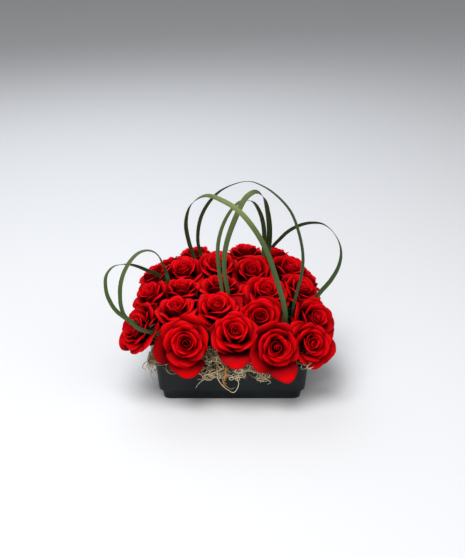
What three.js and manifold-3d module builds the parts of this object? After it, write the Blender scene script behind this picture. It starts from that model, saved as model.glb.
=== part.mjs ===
// Rose flower box: a low square tray holds two bricks of floral foam, a dome of cut roses, seven looped
// blades of lily grass, and moss laid over the rim. Millimetres, +Z up, the origin at the centre of the
// tray's bottom face, +X to the right and -Y to the front.
import * as THREE from "three";
import { mergeVertices } from "three/addons/utils/BufferGeometryUtils.js";
import Module from "manifold-3d";

const wasm = await Module();
wasm.setup();

// ---------------------------------------------------------------------------------- driving dimensions

const GAP = 0.35; // clearance left between two pieces that touch

const TRAY = {
  rimHalf: 114.5, // half the width across the rim
  shoulderHalf: 110, // half the width where the wall ends above the plinth
  plinthTopHalf: 106,
  footHalf: 103.5,
  height: 62,
  plinthHeight: 16,
  stepHeight: 1.6, // rise of the step between plinth and wall
  wall: 2,
  floor: 2.4,
  lip: 0.8, // how far the rolled rim stands out
  corner: 10,
};

const FOAM = {
  half: 92,
  bottom: 2.8,
  top: 78,
  chamfer: 20, // cut off the long upper edges
};

const TAPE = {
  width: 5,
  thickness: 0.6,
  left: -31.7, // where each strip crosses its brick, clear of the stems
  right: 57.1,
  stuckDown: 9, // length stuck to the outside of the tray below its rim
};

const STEM = {
  radius: 2.7,
  depth: 36, // how deep it is pushed into the foam
  spread: 0.46, // plan position of the cut end, as a share of the bloom's
  seam: 4, // least distance kept from the seam between the bricks
};

const BLOOM_DEPTH = 1.24; // from the neck to the face, as a share of the radius
const BLADE_THICKNESS = 1.5;
const FRONT = new THREE.Vector3(0, -0.91, 0.41); // forwards and a little up

// Each row: x, y, z of the middle of the bloom's face, the lean of its axis from upright, the heading it
// leans to (0 is the front, 90 the right), and its radius.
const ROSES = [
  // front row
  [-150, -108, 122, 52, -52, 30],
  [-68, -138, 112, 64, -4, 39],
  [5, -124, 128, 42, 2, 36],
  [67, -140, 106, 72, 8, 38],
  [122, -118, 102, 62, 22, 35],
  // second row
  [-143, -70, 122, 52, -58, 33],
  [-84, -76, 147, 15, -12, 33],
  [-22, -76, 148, 24, -4, 36],
  [43, -88, 133, 48, 0, 35],
  [132, -66, 121, 50, 44, 37],
  // third row
  [-131, -28, 147, 31, -66, 35],
  [-77, -20, 156, 3, -30, 33],
  [-17, -16, 161, 2, 180, 36],
  [55, -30, 152, 26, 10, 37],
  [113, -12, 148, 34, 56, 35],
  // fourth row
  [-129, 28, 157, 34, -100, 34],
  [-78, 36, 160, 22, -20, 35],
  [-22, 42, 167, 22, 8, 36],
  [32, 34, 158, 28, 4, 37],
  [96, 42, 161, 26, 54, 36],
  // fifth row
  [-104, 80, 152, 26, -126, 34],
  [-58, 100, 164, 12, 190, 34],
  [22, 96, 169, 8, 176, 35],
  [70, 94, 164, 14, 150, 34],
  [126, 46, 140, 46, 96, 34],
  // low ring at the sides and the back
  [-124, 8, 102, 64, -93, 31],
  [-124, 64, 100, 64, -112, 31],
  [-96, 118, 106, 58, -146, 35],
  [-32, 134, 106, 58, -172, 36],
  [36, 136, 106, 58, 172, 37],
  [98, 118, 105, 58, 144, 35],
  [128, -14, 98, 66, 88, 31],
  [128, 62, 96, 64, 108, 31],
];

// Each looped blade: its greatest width, the middle of its loop, how far its flat is twisted towards the
// front (1) or the back (-1) at even steps along it, and its route from one cut end to the other. Both
// ends are pushed into the foam.
const BLADES = [
  {
    name: "grass_blade_1",
    width: 8,
    middle: [5, -12, 150],
    facing: [-0.7, -0.75, -0.7, 0, 0.6, 0.85, 0.92, 0.9, 0.8],
    route: [
      [-40, 34, 50], [-52, 50, 95], [-57, 60, 150], [-68, 49, 195], [-71, 35, 234], [-61, 22, 268],
      [-39, 11, 285], [-14, 0, 281], [14, -14, 266], [46, -39, 228], [67, -66, 178], [79, -89, 134],
      [74, -84, 95], [64, -75, 50],
    ],
  },
  {
    name: "grass_blade_2",
    width: 7,
    middle: [22, -5, 160],
    facing: [-0.5, -0.7, -0.75, -0.2, 0, 0.02, 0.05, 0],
    route: [
      [-30, 34, 50], [-43, 56, 95], [-47, 67, 150], [-54, 53, 197], [-46, 36, 246], [-22, 22, 285],
      [4, 12, 303], [26, 4, 310], [48, -4, 304], [68, -14, 292], [87, -25, 272], [99, -37, 243],
      [105, -48, 212], [103, -58, 184], [94, -68, 152], [89, -62, 112], [84, -55, 82], [71, -46, 50],
    ],
  },
  {
    name: "grass_blade_3",
    width: 7.5,
    middle: [18, 8, 150],
    facing: [0.3, 0.35, 0.5, 0.3, -0.5, -0.6, -0.5],
    route: [
      [-26, -30, 50], [-22, -38, 95], [-14, -50, 138], [-20, -27, 183], [-21, -9, 213], [-13, 8, 240],
      [2, 21, 262], [16, 30, 270], [31, 38, 266], [43, 48, 245], [50, 59, 214], [51, 68, 180],
      [46, 62, 130], [37, 60, 90], [27, 56, 50],
    ],
  },
  {
    name: "grass_blade_4",
    width: 9,
    middle: [26, 14, 150],
    facing: [0.3, 0.4, 0.85, 0.5, -0.5, -0.6, -0.5],
    route: [
      [-8, -36, 50], [-7, -42, 95], [-5, -47, 140], [-12, -26, 187], [-8, -10, 217], [8, 11, 256],
      [21, 24, 277], [36, 32, 284], [48, 39, 273], [55, 50, 246], [59, 62, 213], [59, 76, 177],
      [54, 70, 130], [44, 66, 90], [34, 66, 50],
    ],
  },
  {
    name: "grass_blade_5",
    width: 7.5,
    middle: [95, 18, 140],
    facing: [-0.6, -0.75, -0.45, -0.05, 0.3, 0.55, 0.7],
    route: [
      [65, 72, 50], [66, 93, 85], [66, 107, 120], [64, 112, 144], [67, 110, 161], [77, 104, 176],
      [90, 94, 194], [107, 80, 210], [125, 66, 220], [143, 52, 223], [157, 38, 216], [166, 24, 203],
      [168, 10, 190], [163, -4, 174], [150, -18, 157], [134, -28, 142], [112, -25, 104], [98, -24, 80],
      [88, -22, 50],
    ],
  },
  {
    name: "grass_blade_6",
    width: 8,
    middle: [-120, -55, 130],
    facing: [0.7, 0.7, 0.5, 0.4, 0.2, -0.35, -0.6, -0.5],
    route: [
      [-70, -66, 50], [-84, -82, 78], [-100, -104, 104], [-112, -117, 118], [-122, -126, 125],
      [-133, -130, 131], [-152, -118, 141], [-170, -100, 147], [-180, -85, 155], [-186, -72, 164],
      [-188, -57, 179], [-185, -48, 185], [-177, -38, 190], [-163, -28, 189], [-148, -15, 181],
      [-130, -4, 168], [-112, 4, 155], [-92, 6, 118], [-80, -4, 84], [-72, -7, 50],
    ],
  },
  {
    name: "grass_blade_7",
    width: 7.5,
    middle: [-118, -40, 140],
    facing: [0.6, 0.9, 0.7, 0.2, 0.45, 0.4, 0.4, 0.5],
    route: [
      [-52, 3, 50], [-66, 4, 85], [-84, 8, 116], [-98, -2, 151], [-102, 0, 162], [-107, -8, 182],
      [-113, -14, 198], [-121, -20, 207], [-132, -28, 211], [-142, -36, 209], [-152, -46, 201],
      [-161, -58, 187], [-165, -70, 173], [-165, -80, 161], [-163, -92, 151], [-157, -104, 140],
      [-148, -108, 133], [-120, -92, 112], [-97, -64, 80], [-78, -48, 50],
    ],
  },
];

// The moss is laid round the rim in four lengths. Each row: name, the headings where the length starts
// and ends, seen from the middle of the tray, and how low it hangs outside the tray.
const MOSS = [
  ["moss_front", -29, 27, 42],
  ["moss_right", 27, 137, 56],
  ["moss_back", 137, 226, 50],
  ["moss_left", 226, 331, 54],
];

const FROND = {
  radius: 1.1,
  route: [[-7, -112.5, 66], [-9, -122.8, 61], [-10, -124.3, 50], [-12, -119.5, 38], [-13, -114.8, 26]],
};

const COLOURS = {
  tray: 0x121a19,
  foam: 0x2f5a33,
  tape: 0x2c4a30,
  rose: 0xb80010,
  grass: 0x4c6b34,
  moss: 0xa39068,
  frond: 0x9a5a24,
};

// --------------------------------------------------------------------------------------- solid helpers

// A closed geometry as a manifold solid, with its faces turned outwards.
function solidFrom(geometry) {
  const bare = geometry.index ? geometry.toNonIndexed() : geometry.clone();
  bare.deleteAttribute("normal");
  bare.deleteAttribute("uv");
  const merged = mergeVertices(bare, 1e-4);
  const vertProperties = new Float32Array(merged.attributes.position.array);
  const triVerts = new Uint32Array(merged.index.array);
  const solid = new wasm.Manifold(new wasm.Mesh({ numProp: 3, vertProperties, triVerts }));
  if (solid.volume() > 0) return solid;
  return new wasm.Manifold(
    new wasm.Mesh({ numProp: 3, vertProperties, triVerts: triVerts.slice().reverse() }),
  );
}

function geometryFrom(solid) {
  const mesh = solid.getMesh();
  const positions = new Float32Array(mesh.numVert * 3);
  for (let i = 0; i < mesh.numVert; i++) {
    const start = i * mesh.numProp;
    positions.set(mesh.vertProperties.subarray(start, start + 3), i * 3);
  }
  return new THREE.BufferGeometry()
    .setAttribute("position", new THREE.BufferAttribute(positions, 3))
    .setIndex(new THREE.BufferAttribute(new Uint32Array(mesh.triVerts), 1));
}

// The largest body of a solid, without the crumbs that a cut can leave.
function largestBody(solid) {
  return solid.decompose().reduce((best, body) => (body.volume() > best.volume() ? body : best));
}

// The solid less each of the others that reaches it.
function cutBy(solid, others) {
  return others.reduce((left, other) => {
    return left.intersect(other).volume() > 0 ? left.subtract(other) : left;
  }, solid);
}

const vector = ([x, y, z]) => new THREE.Vector3(x, y, z);

// ------------------------------------------------------------------------------------------------ tray

// A turned profile of [half width, height] points, carried round a square with rounded corners.
function squareTurned(profile, cornerRadius) {
  const stepsPerCorner = 5;
  const steps = 4 * stepsPerCorner;
  const points = profile.map(([half, z]) => new THREE.Vector2(half, z));
  const geometry = new THREE.LatheGeometry(points, steps).rotateX(Math.PI / 2);
  const position = geometry.attributes.position;
  for (let i = 0; i < position.count; i++) {
    const half = Math.hypot(position.getX(i), position.getY(i));
    const turn = Math.atan2(position.getY(i), position.getX(i)) / (2 * Math.PI);
    const step = Math.round((turn + 1) * steps) % steps;
    const quarter = Math.floor(step / stepsPerCorner);
    const sweep = (step % stepsPerCorner) / (stepsPerCorner - 1);
    const radius = Math.min(cornerRadius, half);
    const middle = (quarter + 0.5) * (Math.PI / 2);
    const reach = (half - radius) * Math.SQRT2;
    const angle = (quarter + sweep) * (Math.PI / 2);
    position.setX(i, reach * Math.cos(middle) + radius * Math.cos(angle));
    position.setY(i, reach * Math.sin(middle) + radius * Math.sin(angle));
  }
  return geometry;
}

function traySolid() {
  const shoulder = TRAY.plinthHeight + TRAY.stepHeight;
  const t = TRAY.wall;
  const profile = [
    [0, 0],
    [TRAY.footHalf - 1.2, 0],
    [TRAY.footHalf, 1.4],
    [TRAY.plinthTopHalf, TRAY.plinthHeight],
    [TRAY.shoulderHalf - 1, shoulder - 0.4],
    [TRAY.shoulderHalf, shoulder + 0.8],
    [TRAY.rimHalf - TRAY.lip, TRAY.height - 3.4],
    [TRAY.rimHalf, TRAY.height - 2.6],
    [TRAY.rimHalf, TRAY.height - 0.6],
    [TRAY.rimHalf - 0.8, TRAY.height],
    [TRAY.rimHalf - t, TRAY.height],
    [TRAY.shoulderHalf - t, shoulder + t],
    [TRAY.plinthTopHalf - t, shoulder + t - 0.6],
    [TRAY.footHalf - t, TRAY.floor],
    [0, TRAY.floor],
  ];
  return solidFrom(squareTurned(profile, TRAY.corner));
}

// ------------------------------------------------------------------------------------------------ foam

// One brick, from the seam between the two to the outer edge on the side given by sign.
function foamBrick(sign, grow) {
  const { bottom, chamfer } = FOAM;
  const half = FOAM.half + grow;
  const top = FOAM.top + grow;
  const outline = new THREE.Shape();
  outline.moveTo(GAP / 2 - grow, bottom);
  outline.lineTo(half, bottom);
  outline.lineTo(half, top - chamfer);
  outline.lineTo(half - chamfer, top);
  outline.lineTo(GAP / 2 - grow, top);
  outline.closePath();
  const brick = new THREE.ExtrudeGeometry(outline, { depth: 2 * half, bevelEnabled: false });
  brick.rotateX(Math.PI / 2).translate(0, half, 0);
  if (sign < 0) brick.rotateZ(Math.PI);
  return solidFrom(brick).intersect(foamEnds(half, top));
}

// The cut that slopes the front and back edges of both bricks.
function foamEnds(half, top) {
  const outline = new THREE.Shape();
  const spare = 1;
  outline.moveTo(-half, 0);
  outline.lineTo(half, 0);
  outline.lineTo(half, top - FOAM.chamfer);
  outline.lineTo(half - FOAM.chamfer - spare, top + spare);
  outline.lineTo(FOAM.chamfer + spare - half, top + spare);
  outline.lineTo(-half, top - FOAM.chamfer);
  outline.closePath();
  const ends = new THREE.ExtrudeGeometry(outline, { depth: 2 * (half + spare), bevelEnabled: false });
  ends.rotateX(Math.PI / 2).rotateZ(Math.PI / 2).translate(-half - spare, 0, 0);
  return solidFrom(ends);
}

// ------------------------------------------------------------------------------------------------ tape

// The middle line of a strip from the outside of the front wall, over the foam, to the back wall.
function tapeLine() {
  const over = GAP + TAPE.thickness / 2;
  const wallFall = (TRAY.rimHalf - TRAY.shoulderHalf) / (TRAY.height - TRAY.plinthHeight);
  const low = TRAY.height - TAPE.stuckDown;
  const half = [
    [-TRAY.rimHalf - over + wallFall * TAPE.stuckDown * 0.5, low],
    [-TRAY.rimHalf - over, TRAY.height],
    [-TRAY.rimHalf + 0.6, TRAY.height + over],
    [FOAM.chamfer - FOAM.half - 0.6, FOAM.top + over],
  ];
  const mirrored = half.map(([y, z]) => [-y, z]).reverse();
  return [...half, ...mirrored];
}

function tapeSolid(x, grow) {
  const line = tapeLine().map(([y, z]) => new THREE.Vector2(y, z));
  const reach = TAPE.thickness / 2 + grow;
  const side = (sign) => line.map((point, i) => {
    const before = line[Math.max(i - 1, 0)];
    const after = line[Math.min(i + 1, line.length - 1)];
    const along = after.clone().sub(before).normalize();
    return new THREE.Vector2(-along.y, along.x).multiplyScalar(sign * reach).add(point);
  });
  const outline = new THREE.Shape([...side(1), ...side(-1).reverse()]);
  const depth = TAPE.width + 2 * grow;
  const strip = new THREE.ExtrudeGeometry(outline, { depth, bevelEnabled: false });
  strip.rotateX(Math.PI / 2).rotateZ(Math.PI / 2).translate(x - depth / 2, 0, 0);
  return solidFrom(strip);
}

// ----------------------------------------------------------------------------------------------- roses

// Where one cut rose stands: its face, axis, neck and the cut end of its stem.
function placeRose([x, y, z, lean, heading, radius], index) {
  const tilt = THREE.MathUtils.degToRad(lean);
  const turn = THREE.MathUtils.degToRad(heading);
  const axis = new THREE.Vector3(
    Math.sin(tilt) * Math.sin(turn),
    -Math.sin(tilt) * Math.cos(turn),
    Math.cos(tilt),
  );
  const face = new THREE.Vector3(x, y, z);
  const depth = BLOOM_DEPTH * radius;
  const neck = face.clone().addScaledVector(axis, -depth);
  const tip = new THREE.Vector3(
    STEM.spread * x + Math.sign(x) * STEM.seam,
    STEM.spread * y,
    FOAM.top - STEM.depth,
  );
  const name = "rose_" + String(index + 1).padStart(2, "0");
  const heart = face.clone().addScaledVector(axis, -depth * 0.4);
  return { name, axis, face, depth, radius, neck, tip, heart };
}

// The outer shape of a bloom with the hip below it, turned about its axis.
function bloomSolid(rose, grow) {
  const { radius: r, depth: d } = rose;
  const profile = [
    [0, -12 - grow],
    [6 + grow, -8 - grow],
    [5.8 + grow, 0],
    [0.58 * r + grow, 0.16 * d - grow],
    [0.9 * r + grow, 0.54 * d],
    [r + grow, 0.8 * d],
    [0.86 * r + grow, 0.97 * d + grow],
    [0, 1.02 * d + grow],
  ].map(([across, along]) => new THREE.Vector2(across, along));
  const bloom = new THREE.LatheGeometry(profile, 11);
  const up = new THREE.Vector3(0, 1, 0);
  bloom.applyQuaternion(new THREE.Quaternion().setFromUnitVectors(up, rose.axis));
  bloom.translate(rose.neck.x, rose.neck.y, rose.neck.z);
  return solidFrom(bloom);
}

// The stem from just inside the bloom, down through the hip, to its cut end in the foam.
function stemSolid(rose, grow) {
  const start = rose.neck.clone().addScaledVector(rose.axis, 4);
  const run = rose.tip.clone().sub(start);
  const length = run.length() + grow;
  const radius = STEM.radius + grow;
  const profile = [
    [0, 0],
    [radius, 0],
    [radius, length - 3],
    [0, length],
  ].map(([across, along]) => new THREE.Vector2(across, along));
  const stem = new THREE.LatheGeometry(profile, 6);
  const up = new THREE.Vector3(0, 1, 0);
  stem.applyQuaternion(new THREE.Quaternion().setFromUnitVectors(up, run.normalize()));
  stem.translate(start.x, start.y, start.z);
  return solidFrom(stem);
}

// Neighbouring blooms press flat against each other half way between their hearts.
function pressAgainst(solid, rose, roses) {
  return roses.reduce((left, other) => {
    if (other === rose) return left;
    const across = other.heart.clone().sub(rose.heart);
    const distance = across.length();
    if (distance > 1.25 * (rose.radius + other.radius)) return left;
    across.divideScalar(distance);
    const share = (distance * rose.radius) / (rose.radius + other.radius);
    const limit = rose.heart.dot(across) + share - GAP / 2;
    return left.trimByPlane(across.clone().negate().toArray(), -limit);
  }, solid);
}

// ----------------------------------------------------------------------------------------------- grass

// A blade's middle line. Its frames turn the flat of the blade away from the middle of the loop, as far
// as it is not twisted to the front, and their length carries the blade's width and thickness.
class BladeCurve extends THREE.CatmullRomCurve3 {
  constructor(blade, grow) {
    super(blade.route.map(vector), false, "centripetal");
    this.middle = vector(blade.middle);
    this.facing = blade.facing;
    this.halfWidth = blade.width / 2;
    this.grow = grow;
  }

  widthAt(u) {
    const taper = 0.62 + 0.38 * Math.sin(Math.PI * Math.min(1, 0.18 + 0.9 * (1 - u)));
    return this.halfWidth * taper + this.grow;
  }

  facingAt(u) {
    const place = u * (this.facing.length - 1);
    const before = Math.min(Math.floor(place), this.facing.length - 2);
    return THREE.MathUtils.lerp(this.facing[before], this.facing[before + 1], place - before);
  }

  computeFrenetFrames(steps) {
    const tangents = [];
    const normals = [];
    const binormals = [];
    for (let i = 0; i <= steps; i++) {
      const u = i / steps;
      const along = this.getTangentAt(u);
      const twist = this.facingAt(u);
      const outward = this.getPointAt(u).sub(this.middle).normalize();
      const flat = outward.multiplyScalar(1 - Math.abs(twist)).addScaledVector(FRONT, twist);
      const across = new THREE.Vector3().crossVectors(along, flat).normalize();
      const thick = new THREE.Vector3().crossVectors(across, along);
      tangents.push(along);
      normals.push(across.multiplyScalar(this.widthAt(u)));
      binormals.push(thick.multiplyScalar(BLADE_THICKNESS / 2 + this.grow));
    }
    return { tangents, normals, binormals };
  }
}

function bladeSolid(blade, grow) {
  const section = new THREE.Shape([
    new THREE.Vector2(-1, 0),
    new THREE.Vector2(0, -1),
    new THREE.Vector2(1, 0),
    new THREE.Vector2(0, 1),
  ]);
  const options = { steps: 2 * blade.route.length, extrudePath: new BladeCurve(blade, grow) };
  return solidFrom(new THREE.ExtrudeGeometry(section, options));
}

// ------------------------------------------------------------------------------------------------ moss

// The upright plane through the tray's middle at a heading, as its normal towards higher headings.
function headingNormal(heading) {
  const turn = THREE.MathUtils.degToRad(heading);
  return [Math.cos(turn), Math.sin(turn), 0];
}

// A length of moss: it fills the gap inside the rim and hangs over the outside.
function mossSolid([, start, end, hang]) {
  const rim = TRAY.rimHalf;
  const { height } = TRAY;
  const profile = [
    [80, height + 10],
    [94, 58],
    [101, 52],
    [rim - TRAY.wall - 3.4, height - 8],
    [rim - TRAY.wall - 1, height + GAP],
    [rim + 1, height + GAP],
    [rim + 1.4, hang + 2],
    [rim + 5, hang],
    [rim + 10, hang + 9],
    [rim + 9, height + 4],
    [rim - 4, height + 14],
    [90, height + 18],
    [80, height + 10],
  ];
  const ring = solidFrom(squareTurned(profile, TRAY.corner));
  const after = headingNormal(start);
  const before = headingNormal(end).map((part) => -part);
  return ring.trimByPlane(after, GAP / 2).trimByPlane(before, GAP / 2);
}

// ----------------------------------------------------------------------------------------------- frond

function frondSolid(grow) {
  const route = new THREE.CatmullRomCurve3(FROND.route.map(vector));
  const section = new THREE.Shape().absarc(0, 0, FROND.radius + grow, 0, 2 * Math.PI);
  const options = { steps: 8, curveSegments: 3, extrudePath: route };
  return solidFrom(new THREE.ExtrudeGeometry(section, options));
}

// -------------------------------------------------------------------------------------------- assembly

const box = new THREE.Group();

function addPiece(name, solid, color, roughness) {
  const material = new THREE.MeshStandardMaterial({ color, roughness, metalness: 0 });
  const mesh = new THREE.Mesh(geometryFrom(solid), material);
  mesh.name = name;
  box.add(mesh);
}

const roses = ROSES.map(placeRose);
const bladesGrown = BLADES.map((blade) => bladeSolid(blade, GAP));
const stemsGrown = roses.map((rose) => stemSolid(rose, GAP));
const tapesGrown = [TAPE.left, TAPE.right].map((x) => tapeSolid(x, GAP));
const tray = traySolid();

const cutRoses = roses.map((rose, index) => {
  const pressed = pressAgainst(bloomSolid(rose, 0), rose, roses);
  const otherStems = stemsGrown.filter((_, other) => other !== index);
  const bloom = largestBody(cutBy(pressed, [...bladesGrown, ...otherStems]));
  return bloom.add(stemSolid(rose, 0));
});
const bloomsGrown = roses.map((rose) => bloomSolid(rose, GAP));

addPiece("tray", tray, COLOURS.tray, 0.45);
for (const [name, sign] of [["foam_brick_left", -1], ["foam_brick_right", 1]]) {
  const brick = cutBy(foamBrick(sign, 0), [...stemsGrown, ...bladesGrown, ...bloomsGrown]);
  addPiece(name, largestBody(brick), COLOURS.foam, 0.95);
}
addPiece("anchor_tape_left", tapeSolid(TAPE.left, 0), COLOURS.tape, 0.5);
addPiece("anchor_tape_right", tapeSolid(TAPE.right, 0), COLOURS.tape, 0.5);
roses.forEach((rose, index) => addPiece(rose.name, cutRoses[index], COLOURS.rose, 0.6));
BLADES.forEach((blade) => addPiece(blade.name, bladeSolid(blade, 0), COLOURS.grass, 0.5));
const bricksGrown = [-1, 1].map((sign) => foamBrick(sign, GAP));
const plantsGrown = [...bloomsGrown, ...stemsGrown, ...bladesGrown, frondSolid(GAP)];
for (const length of MOSS) {
  const around = [...bricksGrown, ...tapesGrown, ...plantsGrown];
  addPiece(length[0], largestBody(cutBy(mossSolid(length), around)), COLOURS.moss, 0.95);
}
addPiece("dry_frond", frondSolid(0), COLOURS.frond, 0.8);

export default box;
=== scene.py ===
"""Looks of the rose flower box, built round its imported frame.

The tables of blooms and grass routes repeat those of part.mjs, in millimetres. Shapes are worked out in
millimetres, in the frame's own axes, and scaled to metres when a mesh is made.
"""
import math

import bmesh
import bpy
import numpy as np
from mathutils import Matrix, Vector


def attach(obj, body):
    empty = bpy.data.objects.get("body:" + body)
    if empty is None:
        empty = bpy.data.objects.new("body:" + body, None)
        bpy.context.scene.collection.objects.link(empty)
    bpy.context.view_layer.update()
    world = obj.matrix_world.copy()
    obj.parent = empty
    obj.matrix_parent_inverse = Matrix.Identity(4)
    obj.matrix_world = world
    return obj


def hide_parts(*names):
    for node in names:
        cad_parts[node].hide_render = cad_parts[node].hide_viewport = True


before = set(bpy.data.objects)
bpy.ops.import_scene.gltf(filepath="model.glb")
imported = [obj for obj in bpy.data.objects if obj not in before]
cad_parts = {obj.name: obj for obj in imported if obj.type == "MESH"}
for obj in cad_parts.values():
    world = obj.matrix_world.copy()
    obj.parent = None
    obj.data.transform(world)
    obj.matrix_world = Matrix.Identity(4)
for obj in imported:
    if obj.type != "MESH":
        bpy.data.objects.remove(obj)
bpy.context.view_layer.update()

MM = 0.001
GOLDEN_ANGLE = math.pi * (3 - math.sqrt(5))
UP = np.array([0.0, 0.0, 1.0])
FRONT = np.array([0.0, -0.91, 0.41])
ROSE_SEED, BLADE_SEED, MOSS_SEED, FROND_SEED = 700, 40, 90, 17

# ---- driving values

# how far petals may reach past the plane between two blooms
TUCK = 2.2
TRAY = {
    "rim_half": 114.5,
    "shoulder_half": 110,
    "plinth_top_half": 106,
    "foot_half": 103.5,
    "height": 62,
    "plinth_height": 16,
    "step_height": 1.6,
    "wall": 2,
    "floor": 2.4,
    "lip": 0.8,
    "corner": 10,
}
FOAM_TOP = 78
STEM_RADIUS = 2.7
# how deep a stem goes into the foam, how far out its end stands as a share of the bloom's own place, and
# how far it keeps from the seam between the two bricks
STEM_DEPTH = 36
STEM_SPREAD = 0.46
STEM_SEAM = 4
# a bloom's height over its radius
BLOOM_DEPTH = 1.24

# x, y, z of the face's middle, lean and heading of the axis in degrees, radius, and the guard petals, each
# as its turn round the axis, where 0 hangs lowest and 90 is on the right, how far it reaches, and how far
# its rim is drawn out to a point where that is more than usual.
ROSES = [
    (-150, -108, 122, 52, -52, 30, ((10, 1.0), (-45, 1.2), (82, 1.38), (-100, 1.12), (42, 1.1))),
    (-68, -138, 112, 64, -4, 39, ((2, 1.3), (-82, 1.3), (-128, 1.08), (168, 1.08))),
    (5, -124, 128, 42, 2, 36, ((4, 1.38), (-66, 1.14), (-128, 1.18), (104, 1.06))),
    (67, -140, 106, 72, 8, 38, ((15, 1.6, 0.24), (-52, 1.2), (-96, 1.08), (66, 1.1))),
    (122, -118, 102, 62, 22, 35, ((56, 1.2), (8, 1.12), (-150, 1.05))),
    (-143, -70, 122, 52, -58, 33, ((95, 1.22), (60, 1.14), (-140, 1.15))),
    (-84, -76, 147, 15, -12, 33, ((70, 1.22), (38, 1.15), (-60, 1.08))),
    (-22, -76, 148, 24, -4, 36, ((68, 1.4), (-48, 1.2), (20, 1.12), (98, 1.3), (136, 1.32))),
    (43, -88, 133, 48, 0, 35, ((-60, 1.08), (150, 1.1), (60, 1.06))),
    (132, -66, 121, 50, 44, 37, ((-80, 1.15), (-30, 1.16), (140, 1.2), (70, 1.2), (20, 1.2))),
    (-131, -28, 147, 31, -66, 35, ((60, 1.12), (-160, 1.08), (-90, 1.08))),
    (-77, -20, 156, 3, -30, 33, ((10, 1.12), (60, 1.12), (-60, 1.1))),
    (-17, -16, 161, 2, 180, 36, ((180, 1.12), (120, 1.12), (-138, 1.25))),
    (55, -30, 152, 26, 10, 37, ((75, 1.12), (-52, 1.38), (-96, 1.25), (0, 1.08))),
    (113, -12, 148, 34, 56, 35, ((-60, 1.1), (150, 1.1), (60, 1.1))),
    (-129, 28, 157, 34, -100, 34, ((150, 1.1), (0, 1.05))),
    (-78, 36, 160, 22, -20, 35, ((70, 1.12), (-70, 1.1), (180, 1.06))),
    (-22, 42, 167, 22, 8, 36, ((80, 1.14), (-50, 1.1), (160, 1.12))),
    (32, 34, 158, 28, 4, 37, ((-40, 1.12), (40, 1.1), (150, 1.12))),
    (96, 42, 161, 26, 54, 36, ((60, 1.12), (150, 1.14), (-100, 1.08))),
    (-104, 80, 152, 26, -126, 34, ((160, 1.12), (-60, 1.1))),
    (-58, 100, 164, 12, 190, 34, ((20, 1.0), (150, 1.1))),
    (22, 96, 169, 8, 176, 35, ((180, 1.15), (90, 1.1))),
    (70, 94, 164, 14, 150, 34, ((170, 1.1), (90, 1.12))),
    (126, 46, 140, 46, 96, 34, ((170, 1.2), (-150, 1.14))),
    (-124, 8, 102, 64, -93, 31, ((0, 1.08), (90, 1.1))),
    (-124, 64, 100, 64, -112, 31, ((15, 1.08), (-60, 1.1))),
    (-96, 118, 106, 58, -146, 35, ((-20, 1.1), (60, 1.1))),
    (-32, 134, 106, 58, -172, 36, ((10, 1.1), (-60, 1.1))),
    (36, 136, 106, 58, 172, 37, ((-15, 1.1), (70, 1.1))),
    (98, 118, 105, 58, 144, 35, ((15, 1.1), (-60, 1.1))),
    (128, -14, 98, 66, 88, 31, ((-10, 1.1),)),
    (128, 62, 96, 64, 108, 31, ((0, 1.1), (80, 1.1))),
]

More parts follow.
